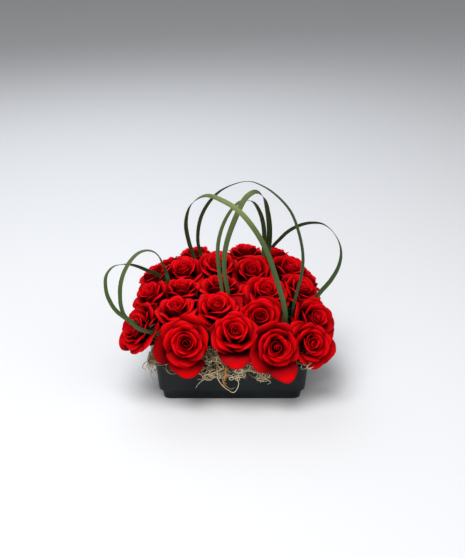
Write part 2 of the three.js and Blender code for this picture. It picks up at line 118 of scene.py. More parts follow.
# name, greatest width, middle of the loop, how far the flat of the leaf is twisted to the front at even
# steps along it, and the route from one cut end to the other
BLADES = [
    ("grass_blade_1", 8, (5, -12, 150), (-0.7, -0.75, -0.7, 0, 0.6, 0.85, 0.92, 0.9, 0.8), [
        (-40, 34, 50), (-52, 50, 95), (-57, 60, 150), (-68, 49, 195), (-71, 35, 234), (-61, 22, 268),
        (-39, 11, 285), (-14, 0, 281), (14, -14, 266), (46, -39, 228), (67, -66, 178), (79, -89, 134),
        (74, -84, 95), (64, -75, 50),
    ]),
    ("grass_blade_2", 7, (22, -5, 160), (-0.5, -0.7, -0.75, -0.2, 0, 0.02, 0.05, 0), [
        (-30, 34, 50), (-43, 56, 95), (-47, 67, 150), (-54, 53, 197), (-46, 36, 246), (-22, 22, 285),
        (4, 12, 303), (26, 4, 310), (48, -4, 304), (68, -14, 292), (87, -25, 272), (99, -37, 243),
        (105, -48, 212), (103, -58, 184), (94, -68, 152), (89, -62, 112), (84, -55, 82), (71, -46, 50),
    ]),
    ("grass_blade_3", 7.5, (18, 8, 150), (0.3, 0.35, 0.5, 0.3, -0.5, -0.6, -0.5), [
        (-26, -30, 50), (-22, -38, 95), (-14, -50, 138), (-20, -27, 183), (-21, -9, 213), (-13, 8, 240),
        (2, 21, 262), (16, 30, 270), (31, 38, 266), (43, 48, 245), (50, 59, 214), (51, 68, 180),
        (46, 62, 130), (37, 60, 90), (27, 56, 50),
    ]),
    ("grass_blade_4", 9, (26, 14, 150), (0.3, 0.4, 0.85, 0.5, -0.5, -0.6, -0.5), [
        (-8, -36, 50), (-7, -42, 95), (-5, -47, 140), (-12, -26, 187), (-8, -10, 217), (8, 11, 256),
        (21, 24, 277), (36, 32, 284), (48, 39, 273), (55, 50, 246), (59, 62, 213), (59, 76, 177),
        (54, 70, 130), (44, 66, 90), (34, 66, 50),
    ]),
    ("grass_blade_5", 7.5, (95, 18, 140), (-0.6, -0.75, -0.45, -0.05, 0.3, 0.55, 0.7), [
        (65, 72, 50), (66, 93, 85), (66, 107, 120), (64, 112, 144), (67, 110, 161), (77, 104, 176),
        (90, 94, 194), (107, 80, 210), (125, 66, 220), (143, 52, 223), (157, 38, 216), (166, 24, 203),
        (168, 10, 190), (163, -4, 174), (150, -18, 157), (134, -28, 142), (112, -25, 104),
        (98, -24, 80), (88, -22, 50),
    ]),
    ("grass_blade_6", 8, (-120, -55, 130), (0.7, 0.7, 0.5, 0.4, 0.2, -0.35, -0.6, -0.5), [
        (-70, -66, 50), (-84, -82, 78), (-100, -104, 104), (-112, -117, 118), (-122, -126, 125),
        (-133, -130, 131), (-152, -118, 141), (-170, -100, 147), (-180, -85, 155), (-186, -72, 164),
        (-188, -57, 179), (-185, -48, 185), (-177, -38, 190), (-163, -28, 189), (-148, -15, 181),
        (-130, -4, 168), (-112, 4, 155), (-92, 6, 118), (-80, -4, 84), (-72, -7, 50),
    ]),
    ("grass_blade_7", 7.5, (-118, -40, 140), (0.6, 0.9, 0.7, 0.2, 0.45, 0.4, 0.4, 0.5), [
        (-52, 3, 50), (-66, 4, 85), (-84, 8, 116), (-98, -2, 151), (-102, 0, 162), (-107, -8, 182),
        (-113, -14, 198), (-121, -20, 207), (-132, -28, 211), (-142, -36, 209), (-152, -46, 201),
        (-161, -58, 187), (-165, -70, 173), (-165, -80, 161), (-163, -92, 151), (-157, -104, 140),
        (-148, -108, 133), (-120, -92, 112), (-97, -64, 80), (-78, -48, 50),
    ]),
]

# ---- mesh helpers


def unit(vector):
    return vector / np.maximum(np.linalg.norm(vector, axis=-1, keepdims=True), 1e-9)


def smooth(x):
    x = np.clip(x, 0, 1)
    return x * x * (3 - 2 * x)


class Sheaf:
    """Closed shells gathered into one mesh, with a value for each point in every named attribute."""

    def __init__(self):
        self.points = []
        self.faces = []
        self.values = {}
        self.count = 0

    def add(self, points, faces, **values):
        self.points.append(points)
        self.faces += (np.asarray(faces) + self.count).tolist()
        for name, value in values.items():
            spread = np.broadcast_to(np.asarray(value, float), (len(points),))
            self.values.setdefault(name, []).append(spread)
        self.count += len(points)

    def build(self, name, material):
        mesh = bpy.data.meshes.new(name)
        mesh.from_pydata((np.concatenate(self.points) * MM).tolist(), [], self.faces)
        for key, parts in self.values.items():
            attribute = mesh.attributes.new(key, "FLOAT", "POINT")
            attribute.data.foreach_set("value", np.concatenate(parts).astype(np.float32))
        mesh.polygons.foreach_set("use_smooth", [True] * len(mesh.polygons))
        mesh.materials.append(material)
        mesh.update()
        piece = bpy.data.objects.new(name, mesh)
        bpy.context.scene.collection.objects.link(piece)
        return piece


def grid_quads(rows, columns, closed_rows=False):
    """Quads between the points of a grid, wrapped round in its first direction when closed."""
    index = np.arange(rows * columns).reshape(rows, columns)
    after = np.roll(index, -1, axis=0) if closed_rows else index[1:]
    here = index if closed_rows else index[:-1]
    return np.stack([here[:, :-1], after[:, :-1], after[:, 1:], here[:, 1:]], -1).reshape(-1, 4)


def shell_of(middle, thickness):
    """A closed thin sheet on a grid of middle points, thinned along its edge."""
    rows, columns = middle.shape[:2]
    normal = unit(np.cross(np.gradient(middle, axis=0), np.gradient(middle, axis=1)))
    half = np.full((rows, columns, 1), thickness / 2)
    half[0] = half[-1] = thickness / 8
    half[:, -1] = thickness / 8
    points = np.concatenate([(middle + normal * half).reshape(-1, 3),
                             (middle - normal * half).reshape(-1, 3)])
    front = grid_quads(rows, columns)
    count = rows * columns
    index = np.arange(count).reshape(rows, columns)
    loop = np.concatenate([index[:-1, 0], index[-1, :-1], index[:0:-1, -1], index[0, :0:-1]])
    following = np.roll(loop, -1)
    edge = np.stack([following, loop, loop + count, following + count], -1)
    return points, np.concatenate([front, front[:, ::-1] + count, edge])


TUBE_END = 0.02


def tube_of(path, radius, sides):
    """A tube along a path, with a radius for each of its points, drawn to a point at both ends."""
    path = np.asarray(path, float)
    radius = np.array(np.broadcast_to(np.asarray(radius, float), (len(path),)))
    radius[[0, -1]] = TUBE_END
    along = unit(np.gradient(path, axis=0))
    across = np.zeros_like(path)
    start = np.array([0.3, 0.2, 1.0]) if abs(along[0][2]) < 0.9 else np.array([1.0, 0.1, 0.2])
    last = start
    for i, direction in enumerate(along):
        last = unit(last - direction * np.dot(last, direction))
        across[i] = last
    beside = np.cross(along, across)
    turn = np.linspace(0, 2 * math.pi, sides, endpoint=False)
    ring = (np.cos(turn)[:, None, None] * across + np.sin(turn)[:, None, None] * beside)
    points = (path[None] + ring * radius[None, :, None]).reshape(-1, 3)
    quads = grid_quads(sides, len(path), closed_rows=True)
    return points, quads


def turned(profile, sides):
    """Points and quads of [radius, height] pairs turned about the upright axis."""
    profile = np.asarray(profile, float)
    turn = np.linspace(0, 2 * math.pi, sides, endpoint=False)[:, None]
    radius, height = profile[:, 0][None], profile[:, 1][None]
    grid = np.stack([radius * np.cos(turn), radius * np.sin(turn), height + 0 * turn], -1)
    return grid.reshape(-1, 3), grid_quads(sides, len(profile), closed_rows=True)


def bowed(route, samples):
    """Points spread evenly along a smooth curve through a route, as a centripetal spline."""
    knots = np.asarray(route, float)
    knots = np.concatenate([[2 * knots[0] - knots[1]], knots, [2 * knots[-1] - knots[-2]]])
    dense = []
    for a, b, c, d in zip(knots, knots[1:], knots[2:], knots[3:]):
        t0 = 0.0
        t1 = t0 + math.sqrt(np.linalg.norm(b - a))
        t2 = t1 + math.sqrt(np.linalg.norm(c - b))
        t3 = t2 + math.sqrt(np.linalg.norm(d - c))
        t = np.linspace(t1, t2, 24, endpoint=False)[:, None]
        a1 = (t1 - t) / (t1 - t0) * a + (t - t0) / (t1 - t0) * b
        a2 = (t2 - t) / (t2 - t1) * b + (t - t1) / (t2 - t1) * c
        a3 = (t3 - t) / (t3 - t2) * c + (t - t2) / (t3 - t2) * d
        b1 = (t2 - t) / (t2 - t0) * a1 + (t - t0) / (t2 - t0) * a2
        b2 = (t3 - t) / (t3 - t1) * a2 + (t - t1) / (t3 - t1) * a3
        dense.append((t2 - t) / (t2 - t1) * b1 + (t - t1) / (t2 - t1) * b2)
    dense = np.concatenate(dense + [knots[-2:-1]])
    length = np.concatenate([[0], np.cumsum(np.linalg.norm(np.diff(dense, axis=0), axis=1))])
    wanted = np.linspace(0, length[-1], samples)
    return np.stack([np.interp(wanted, length, dense[:, i]) for i in range(3)], -1)


# ---- materials


class Looks:
    """A material's nodes, with short calls for the few kinds that are used here."""

    def __init__(self, name, roughness, **sockets):
        self.material = bpy.data.materials.new(name)
        self.material.use_nodes = True
        self.tree = self.material.node_tree
        self.surface = self.tree.nodes["Principled BSDF"]
        self.surface.inputs["Roughness"].default_value = roughness
        for socket, value in sockets.items():
            self.surface.inputs[socket.replace("_", " ")].default_value = value

    def node(self, kind, **inputs):
        node = self.tree.nodes.new(kind)
        for key, value in inputs.items():
            self.feed(node.inputs[key.replace("_", " ")], value)
        return node

    def feed(self, socket, value):
        if isinstance(value, bpy.types.NodeSocket):
            self.tree.links.new(value, socket)
        else:
            socket.default_value = value

    def attribute(self, name):
        node = self.node("ShaderNodeAttribute")
        node.attribute_name = name
        return node.outputs["Fac"]

    def maths(self, operation, a, b=0.0, clamp=False):
        node = self.tree.nodes.new("ShaderNodeMath")
        node.operation = operation
        node.use_clamp = clamp
        self.feed(node.inputs[0], a)
        self.feed(node.inputs[1], b)
        return node.outputs[0]

    def times(self, a, b):
        return self.maths("MULTIPLY", a, b)

    def above(self, value, floor, gain):
        """How far a value stands over a floor, times a gain."""
        return self.times(self.maths("SUBTRACT", value, floor, clamp=True), gain)

    def vector(self, x, y, z):
        return self.node("ShaderNodeCombineXYZ", X=x, Y=y, Z=z).outputs[0]

    def noise(self, vector, scale, detail=2.0, roughness=0.5):
        node = self.node("ShaderNodeTexNoise", Vector=vector, Scale=scale, Detail=detail,
                         Roughness=roughness)
        return node.outputs["Fac"]

    def ramp(self, factor, stops):
        node = self.node("ShaderNodeValToRGB", Fac=factor)
        elements = node.color_ramp.elements
        while len(elements) < len(stops):
            elements.new(0.5)
        for element, (place, colour) in zip(elements, stops):
            element.position = place
            element.color = (*colour, 1)
        return node.outputs["Color"]

    def mix(self, factor, a, b, blend="MIX"):
        node = self.tree.nodes.new("ShaderNodeMix")
        node.data_type = "RGBA"
        node.blend_type = blend
        self.feed(node.inputs["Factor"], factor)
        self.feed(node.inputs[6], a if isinstance(a, bpy.types.NodeSocket) else (*a, 1))
        self.feed(node.inputs[7], b if isinstance(b, bpy.types.NodeSocket) else (*b, 1))
        return node.outputs[2]

    def place(self):
        return self.node("ShaderNodeTexCoord").outputs["Object"]

    def bump(self, height, strength, distance):
        node = self.node("ShaderNodeBump", Height=height, Strength=strength, Distance=distance)
        self.feed(self.surface.inputs["Normal"], node.outputs[0])

    def colour(self, socket):
        self.feed(self.surface.inputs["Base Color"], socket)


def petal_looks():
    """Velvety red, bright on the blade, with painted shade: near black at the foot, in the valleys between
    layers, darker crimson over the back, and a darker, bluer crimson along the very rim.
    """
    looks = Looks("petal_velvet", 0.6, Sheen_Weight=0.04, Sheen_Roughness=0.4,
                  Sheen_Tint=(1.0, 0.0, 0.05, 1), Specular_IOR_Level=0.03)
    along = looks.attribute("petal_along")
    across = looks.attribute("petal_across")
    layer = looks.attribute("petal_layer")
    own = looks.attribute("petal_own")
    back = looks.attribute("petal_back")
    # painted shade: on the front the red falls to near black towards the foot, down in the valleys between
    # the layers, and to a darker, bluer crimson at the very rim
    red = looks.ramp(along, [
        (0.0, (0.006, 0.0, 0.002)),
        (0.46, (0.020, 0.0, 0.004)),
        (0.66, (0.10, 0.0, 0.002)),
        (0.84, (0.38, 0.0, 0.001)),
        (0.96, (0.66, 0.0, 0.001)),
        (1.0, (0.56, 0.001, 0.018)),
    ])
    # painted shade: the back of a petal takes this ramp, darker than the front over the upper blade
    crimson = looks.ramp(along, [
        (0.0, (0.010, 0.0, 0.002)),
        (0.5, (0.06, 0.0, 0.002)),
        (0.78, (0.16, 0.0, 0.002)),
        (0.92, (0.38, 0.0, 0.003)),
        (1.0, (0.64, 0.001, 0.012)),
    ])
    tone = looks.mix(looks.times(back, 0.75), red, crimson)
    # the inner layers are drawn a little towards a mid red, which lifts their painted shade at the heart
    heart = looks.maths("SUBTRACT", 1.0, looks.times(layer, 2.2), clamp=True)
    tone = looks.mix(looks.times(heart, 0.16), tone, (0.30, 0.0, 0.005))
    spread = looks.vector(looks.times(across, 9.0), looks.times(along, 1.6), looks.times(own, 37.0))
    veins = looks.noise(spread, 2.4, detail=4.0, roughness=0.6)
    blotch = looks.noise(looks.place(), 46.0, detail=2.0)
    tone = looks.mix(looks.above(veins, 0.46, 0.8), tone, (0.15, 0.0, 0.005))
    tone = looks.mix(looks.above(blotch, 0.5, 1.3), tone, (0.40, 0.0, 0.007))
    shade = looks.maths("ADD", 0.86, looks.times(own, 0.2))
    tone = looks.mix(1.0, tone, looks.vector(shade, shade, shade), blend="MULTIPLY")
    looks.colour(tone)
    looks.bump(veins, 0.22, 0.0006)
    return looks.material


def green_looks(name, young, deeper, roughness):
    """Flecked green that goes from a paler tone to a deeper one along each piece."""
    looks = Looks(name, roughness, Specular_IOR_Level=0.4)
    along = looks.attribute("green_along")
    own = looks.attribute("green_own")
    tone = looks.mix(along, young, deeper)
    fleck = looks.noise(looks.place(), 420.0, detail=3.0)
    tone = looks.mix(looks.times(own, 0.25), tone, (0.06, 0.07, 0.016))
    tone = looks.mix(looks.above(fleck, 0.5, 1.2), tone, (0.03, 0.055, 0.014))
    looks.colour(tone)
    looks.bump(fleck, 0.2, 0.0003)
    return looks.material


def grass_looks():
    """Long fine veins on both faces, a pale midrib, one half painted in the shade of its fold, and painted
    light:
    a lighter green high in the loop and where the flat turns to the front, darker where it turns away."""
    looks = Looks("lily_grass_leaf", 0.52, Specular_IOR_Level=0.22)
    along = looks.attribute("blade_along")
    across = looks.attribute("blade_across")
    own = looks.attribute("blade_own")
    lines = looks.vector(looks.times(across, 11.0), looks.times(along, 3.0), looks.times(own, 19.0))
    veins = looks.noise(lines, 1.7, detail=3.0, roughness=0.65)
    # painted light: from a dark green where the flat turns away to a light green where it faces the front
    # high in the loop
    tone = looks.ramp(looks.attribute("blade_young"), [
        (0.0, (0.022, 0.054, 0.018)),
        (0.35, (0.036, 0.057, 0.010)),
        (0.7, (0.072, 0.094, 0.018)),
        (1.0, (0.175, 0.210, 0.062)),
    ])
    tone = looks.mix(looks.above(veins, 0.4, 1.8), tone, (0.076, 0.104, 0.024))
    rib = looks.maths("SUBTRACT", 1.0, looks.times(looks.maths("ABSOLUTE", across), 7.0), clamp=True)
    tone = looks.mix(looks.times(rib, 0.3), tone, (0.09, 0.13, 0.04))
    fold = looks.times(looks.maths("GREATER_THAN", across, 0.05), 0.3)
    tone = looks.mix(fold, tone, (0.016, 0.034, 0.010))
    looks.colour(tone)
    looks.bump(veins, 0.35, 0.0004)
    return looks.material


def moss_looks():
    """Each dry strand in its own tone, from brown to straw, with darker bands along it."""
    looks = Looks("moss_strands", 0.82, Specular_IOR_Level=0.25)
    own = looks.attribute("strand_own")
    along = looks.attribute("strand_along")
    tone = looks.ramp(own, [
        (0.0, (0.10, 0.055, 0.024)),
        (0.25, (0.30, 0.20, 0.095)),
        (0.6, (0.60, 0.46, 0.26)),
        (0.85, (0.86, 0.74, 0.50)),
        (1.0, (0.50, 0.46, 0.29)),
    ])
    bands = looks.noise(looks.vector(looks.times(along, 14.0), own, 0.0), 1.0, detail=3.0)
    tone = looks.mix(looks.above(bands, 0.45, 2.0), tone, (0.20, 0.135, 0.065))
    looks.colour(tone)
    looks.bump(looks.noise(looks.place(), 1500.0, detail=2.0), 0.35, 0.0003)
    return looks.material


def tray_looks():
    """Moulded plastic, near black with a green cast, finely grained, with faint rubs on its edges."""
    looks = Looks("tray_moulded", 0.46, Specular_IOR_Level=0.2)
    grain = looks.noise(looks.place(), 2600.0, detail=2.0)
    cloud = looks.noise(looks.place(), 26.0, detail=5.0, roughness=0.65)
    edge = looks.attribute("edge_rub")
    tone = looks.mix(cloud, (0.0018, 0.0036, 0.0040), (0.0040, 0.0066, 0.0072))
    rub = looks.times(edge, looks.maths("SUBTRACT", cloud, 0.25, clamp=True))
    tone = looks.mix(rub, tone, (0.022, 0.029, 0.030))
    looks.colour(tone)
    rough = looks.maths("ADD", 0.36, looks.times(cloud, 0.2))
    looks.feed(looks.surface.inputs["Roughness"], rough)
    looks.bump(grain, 0.16, 0.0003)
    return looks.material


def foam_looks():
    looks = Looks("floral_foam_cells", 0.9, Specular_IOR_Level=0.2)
    cells = looks.noise(looks.place(), 900.0, detail=4.0, roughness=0.7)
    damp = looks.noise(looks.place(), 24.0, detail=3.0)
    # painted shade: both greens are kept dark, as the foam only shows in the gaps down between the blooms;
    # the damp patches vary them at random
    tone = looks.mix(damp, (0.010, 0.034, 0.014), (0.024, 0.068, 0.028))
    tone = looks.mix(looks.times(cells, 0.5), tone, (0.007, 0.022, 0.010))
    looks.colour(tone)
    looks.bump(cells, 0.6, 0.0008)
    return looks.material


def tape_looks():
    """Waterproof cloth-backed tape: a fine weave under a slightly glossy film."""
    looks = Looks("anchor_tape_weave", 0.4, Specular_IOR_Level=0.5)
    place = looks.place()
    weave = looks.node("ShaderNodeTexWave", Vector=place, Scale=500.0, Distortion=0.4)
    weave.bands_direction = "X"
    other = looks.node("ShaderNodeTexWave", Vector=place, Scale=500.0, Distortion=0.4)
    other.bands_direction = "Y"
    threads = looks.times(weave.outputs["Fac"], other.outputs["Fac"])
    looks.colour(looks.mix(threads, (0.020, 0.060, 0.030), (0.045, 0.120, 0.060)))
    looks.bump(threads, 0.4, 0.0003)
    return looks.material


def frond_looks():
    looks = Looks("dry_frond_bark", 0.8, Specular_IOR_Level=0.25)
    fleck = looks.noise(looks.place(), 700.0, detail=3.0)
    looks.colour(looks.mix(fleck, (0.34, 0.125, 0.03), (0.66, 0.30, 0.08)))
    looks.bump(fleck, 0.5, 0.0004)
    return looks.material


# ---- tray


def square_turned(profile, corner, corner_steps):
    """A [half width, height] profile carried round a square with rounded corners, as a grid."""
    profile = np.asarray(profile, float)
    sweep = np.linspace(0, math.pi / 2, corner_steps)
    half, height = profile[:, 0], profile[:, 1]
    radius = np.minimum(corner, half)
    rings = []
    for quarter in range(4):
        middle = (quarter + 0.5) * math.pi / 2
        for angle in sweep + quarter * math.pi / 2:
            reach = (half - radius) * math.sqrt(2)
            rings.append(np.stack([reach * math.cos(middle) + radius * math.cos(angle),
                                   reach * math.sin(middle) + radius * math.sin(angle),
                                   height], -1))
    return np.array(rings)


def rounded_profile(corners, steps=4):
    """A profile whose corners are rounded: each row is half width, height and rounding radius."""
    points = []
    for i, (half, height, radius) in enumerate(corners):
        here = np.array([half, height])
        if radius == 0:
            points.append((*here, 0.0))
            continue
        before = np.array(corners[i - 1][:2]) - here
        after = np.array(corners[i + 1][:2]) - here
        start = here + unit(before) * radius
        end = here + unit(after) * radius
        for t in np.linspace(0, 1, steps + 1):
            bend = (1 - t) ** 2 * start + 2 * t * (1 - t) * here + t * t * end
            points.append((*bend, 1.0))
    return points


def make_tray():
    t = TRAY["wall"]
    shoulder = TRAY["plinth_height"] + TRAY["step_height"]
    rim, height = TRAY["rim_half"], TRAY["height"]
    corners = [
        (0, 0, 0),
        (40, 0, 0),
        (TRAY["foot_half"] - 0.1, 0, 1.3),
        (TRAY["plinth_top_half"], TRAY["plinth_height"], 0.5),
        (TRAY["shoulder_half"], shoulder - 0.4, 1.2),
        (rim - TRAY["lip"], height - 3.6, 0.5),
        (rim, height - 2.8, 0.5),
        (rim, height, 0.7),
        (rim - t, height, 0.6),
        (TRAY["shoulder_half"] - t, shoulder + t, 1.5),
        (TRAY["plinth_top_half"] - t, shoulder + t - 0.6, 1),
        (TRAY["foot_half"] - t, TRAY["floor"], 1.5),
        (0, TRAY["floor"], 0),
    ]
    profile = np.array(rounded_profile(corners))
    grid = square_turned(profile[:, :2], TRAY["corner"], 10)
    rings, places = grid.shape[:2]
    sheaf = Sheaf()
    quads = grid_quads(rings, places, closed_rows=True)
    edge = np.tile(profile[:, 2], rings)
    sheaf.add(grid.reshape(-1, 3), quads, edge_rub=edge)
    piece = sheaf.build("tray_shell", tray_looks())
    weld(piece)
    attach(piece, "root")
    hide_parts("tray")


def weld(piece, distance=0.00001):
    """Joins points that lie on each other, such as those of a turned shape on its axis."""
    mesh = bmesh.new()
    mesh.from_mesh(piece.data)
    bmesh.ops.remove_doubles(mesh, verts=mesh.verts, dist=distance)
    bmesh.ops.dissolve_degenerate(mesh, edges=mesh.edges, dist=distance)
    bmesh.ops.recalc_face_normals(mesh, faces=mesh.faces)
    mesh.to_mesh(piece.data)
    mesh.free()


# ---- roses


PETALS = 25
# values at the heart and outside: lean from the axis at the foot and up the wall, and the share of the
# length where the lip starts to fold back
FOOT_LEAN = (34, 76)
WALL_LEAN = (2, 26)
LIP_START = (0.88, 0.58)
# how far the sides of the rim roll back, in degrees, and how far they fall short of its middle
SIDE_ROLL = (14, 70)
SIDE_FALL = (0.09, 0.36)
# radius where a petal joins the hip, and thickness of a petal
FOOT_RADIUS = (1.4, 4.6)
PETAL_THICKNESS = (0.42, 0.56)
# rows across and columns along a petal, from the layer where each begins
PETAL_GRIDS = ((0.55, 19, 17), (0.2, 17, 12), (-1, 17, 9))


def between(pair, t):
    """The value a share t of the way from the first of a pair to the second."""
    return pair[0] + (pair[1] - pair[0]) * t


class Rose:
    """Where one cut rose stands, and the directions that its petals are laid out in."""

    def __init__(self, number, row):
        x, y, z, lean, heading, self.radius, self.guards = row
        self.name = f"rose_{number:02d}"
        tilt, turn = math.radians(lean), math.radians(heading)
        self.axis = np.array([math.sin(tilt) * math.sin(turn), -math.sin(tilt) * math.cos(turn),
                              math.cos(tilt)])
        self.face = np.array([x, y, z], float)
        self.depth = BLOOM_DEPTH * self.radius
        self.neck = self.face - self.axis * self.depth
        self.heart = self.face - self.axis * self.depth * 0.4
        side = STEM_SEAM if x > 0 else -STEM_SEAM
        self.tip = np.array([STEM_SPREAD * x + side, STEM_SPREAD * y, FOAM_TOP - STEM_DEPTH])
        self.down = unit(self.axis * self.axis[2] - UP)
        self.right = np.cross(self.axis, self.down)
        self.rng = np.random.default_rng(ROSE_SEED + number)

    def placed(self, local):
        """Points given as (down, right, along the axis from the neck) in the frame's axes."""
        return (self.neck + local[..., :1] * self.down + local[..., 1:2] * self.right
                + local[..., 2:] * self.axis)


def swung(outward, sideways, height, turn):
    """A petal or sepal as a grid of points, at its turn round the axis."""
    cos, sin = math.cos(turn), math.sin(turn)
    return np.stack([outward * cos - sideways * sin, outward * sin + sideways * cos, height], -1)


def petal_grid(rose, t, turn, reach, droop, tip, rows, columns, rng):
    """The middle surface of one petal, from its foot to its rim, in the rose's own directions.

    t, the petal's layer, is 0 at the heart and 1 outside. reach scales how far the rim stands out, droop
    adds to how far it rolls back, and tip draws the rim out to a point.
    """
    u = np.linspace(-1, 1, rows)[:, None]
    v = (np.linspace(0, 1, columns) ** 0.85)[None, :]
    # the rim falls away from the middle almost straight, which leaves the petal a blunt point
    fall = np.maximum(np.sqrt(u ** 2 + 0.05) - 0.224, 0) / 0.801
    notch = 0.018 * t * np.sin(6 * u + rng.uniform(0, 6)) + 0.006 * np.sin(11 * u + rng.uniform(0, 6))
    length = 1 - (between(SIDE_FALL, t) + tip) * fall ** (1.5 - 0.4 * t) - notch
    q = v * length
    # theta is the lean from the axis all along the petal: foot, wall, lip, and the roll of the sides
    foot_angle = math.radians(between(FOOT_LEAN, t))
    wall_angle = math.radians(between(WALL_LEAN, t ** 1.5))
    lip = math.radians(-14 + 92 * smooth((t - 0.08) / 0.5) + 18 * t ** 3 + droop)
    lip = lip * rng.uniform(0.85, 1.12)
    lip_start = between(LIP_START, t)
    roll = math.radians(between(SIDE_ROLL, t)) * smooth((t - 0.15) / 0.5)
    theta = foot_angle + (wall_angle - foot_angle) * smooth(q / 0.42)
    theta = theta + (lip - wall_angle) * smooth((q - lip_start) / (1.04 - lip_start)) ** 1.1
    theta = theta + roll * fall ** 1.6 * smooth((q - 0.40) / 0.45)
    step = np.diff(q, axis=1, prepend=0)
    out = np.cumsum(np.sin(theta) * step, axis=1)
    rise = np.cumsum(np.cos(theta) * step, axis=1)
    # the profile is stretched so that its middle row meets the bloom's own radius and height
    mid = rows // 2
    foot_radius = between(FOOT_RADIUS, t)
    rim_radius = rose.radius * (0.060 + 0.96 * t ** 1.15) * reach
    crest = rose.depth * (0.93 + 0.07 * math.sin(math.pi * min(t / 0.8, 1)) - 0.20 * t ** 3
                          - 0.004 * droop)
    radius = foot_radius + out * (rim_radius - foot_radius) / max(out[mid].max(), 1e-6)
    height = 2.5 * (1 - t) + rise * crest / max(rise[mid].max(), 1e-6)
    # wide at the middle of its height, narrow at the foot, drawn in at the rim
    half_turn = math.radians(118 - 64 * smooth(t / 0.75)) * rng.uniform(0.92, 1.1)
    width = half_turn * (0.36 + 0.64 * smooth(q / 0.55)) * (1 - 0.14 * smooth((q - 0.8) / 0.22))
    angle = u * width
    flat = 1 - 0.42 * smooth((t - 0.2) / 0.6)
    outward = radius * (1 - (1 - np.cos(angle)) * flat)
    sideways = radius * np.sin(angle)
    # one side is tucked under the last petal, the other lies over it
    outward = outward + (0.4 + 1.6 * t) * u * smooth(q / 0.5)
    # the rim ripples, and the whole petal leans a little in or out
    ripple = (0.15 + 0.75 * t) * smooth((q - 0.5) / 0.5)
    phase = rng.uniform(0, 2 * math.pi, 3)
    height = height + ripple * np.sin(3.1 * u + phase[0]) + 0.5 * ripple * np.sin(7.3 * u + phase[1])
    outward = outward + 0.7 * ripple * np.sin(4.3 * u + phase[2])
    lean = math.radians(rng.normal(0, 2.0 + 2.0 * t))
    outward, height = (outward * math.cos(lean) + height * math.sin(lean),
                       height * math.cos(lean) - outward * math.sin(lean))
    return swung(outward, sideways, height, turn), q


def pressed(points, rose, roses):
    """Pushes what reaches past the plane between two blooms back, softly, to this rose's side."""
    softness = 1.6
    for other in roses:
        if other is rose:
            continue
        across = other.heart - rose.heart
        distance = np.linalg.norm(across)
        if distance > 1.3 * (rose.radius + other.radius):
            continue
        across = across / distance
        share = distance * rose.radius / (rose.radius + other.radius)
        limit = np.dot(rose.heart, across) + share + TUCK
        past = points @ across - limit
        kept = -softness * np.logaddexp(0, -past / softness)
        points = points + (kept - past)[..., None] * across
    return points


def petal_plan(rose):
    """Each petal of a bloom as (layer, turn, reach, droop, tip)."""
    rng = rose.rng
    start = rng.uniform(0, 2 * math.pi)
    plan = []
    for i in range(PETALS):
        layer = i / (PETALS - 1)
        turn = start + i * GOLDEN_ANGLE + rng.normal(0, 0.09)
        plan.append((layer, turn, rng.uniform(0.97, 1.03), rng.uniform(-4, 10), 0.0))
    for turn, reach, *tip in rose.guards:
        plan.append((1.0, math.radians(turn), reach, rng.uniform(14, 30), sum(tip)))
    return plan


def make_bloom(rose, roses, material):
    sheaf = Sheaf()
    for layer, turn, reach, droop, tip in petal_plan(rose):
        rows, columns = next(grid[1:] for grid in PETAL_GRIDS if layer > grid[0])
        grid, q = petal_grid(rose, layer, turn, reach, droop, tip, rows, columns, rose.rng)
        world = pressed(rose.placed(grid), rose, roses)
        points, faces = shell_of(world, between(PETAL_THICKNESS, layer))
        across = np.repeat(np.linspace(-1, 1, rows), columns)
        sheaf.add(points, faces, petal_along=np.tile(q.ravel(), 2),
                  petal_across=np.tile(across, 2), petal_layer=layer,
                  petal_own=rose.rng.uniform(), petal_back=np.repeat([1, 0], rows * columns))
    piece = sheaf.build(rose.name + "_petals", material)
    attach(piece, "root")
    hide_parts(rose.name)


# radius and height of the hip, from under it to where the petals join
HIP = [(0.05, -12), (2.6, -11.6), (4.4, -10), (5.4, -7.5), (5.6, -5), (5.0, -2.4), (5.3, 0.4),
       (6.2, 2.2), (5.0, 3.4), (0.05, 3.6)]
SEPALS = 5
SEPAL_THICKNESS = 0.45
LEAVES = 10
# the highest leaf's length, with each one below it a millimetre longer
LEAF_LENGTH = (27, 33)
LEAF_THICKNESS = 0.4
# the places of a stem's line, and the one that bears the highest leaf
STEM_PLACES = 16
FIRST_LEAF = 3
# leaves lie on the moss at this height
LEAF_REST = 79


def make_stem(rose, material):
    """The stem with its leaves, the swollen hip under the bloom, and the sepals that have folded back."""
    rng = rose.rng
    sheaf = Sheaf()
    start = rose.neck - rose.axis * 9
    line = bowed([rose.neck - rose.axis * 4, start, start * 0.62 + rose.tip * 0.38, rose.tip],
                 STEM_PLACES)
    # a little thinner than the solid stem, so that the two never lie on each other
    points, faces = tube_of(line, STEM_RADIUS - 0.1, 10)
    sheaf.add(points, faces, green_along=0.75, green_own=rng.uniform())
    points, faces = turned(HIP, 14)
    sheaf.add(rose.placed(points), faces, green_along=0.45, green_own=rng.uniform())
    for i in range(SEPALS):
        add_sepal(sheaf, rose, (i + rng.uniform(-0.15, 0.15)) * 2 * math.pi / SEPALS)
    for i in range(LEAVES):
        add_leaf(sheaf, line[FIRST_LEAF + i], rng.uniform(*LEAF_LENGTH) + i, rng)
    piece = sheaf.build(rose.name + "_stem", material)
    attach(piece, "root")


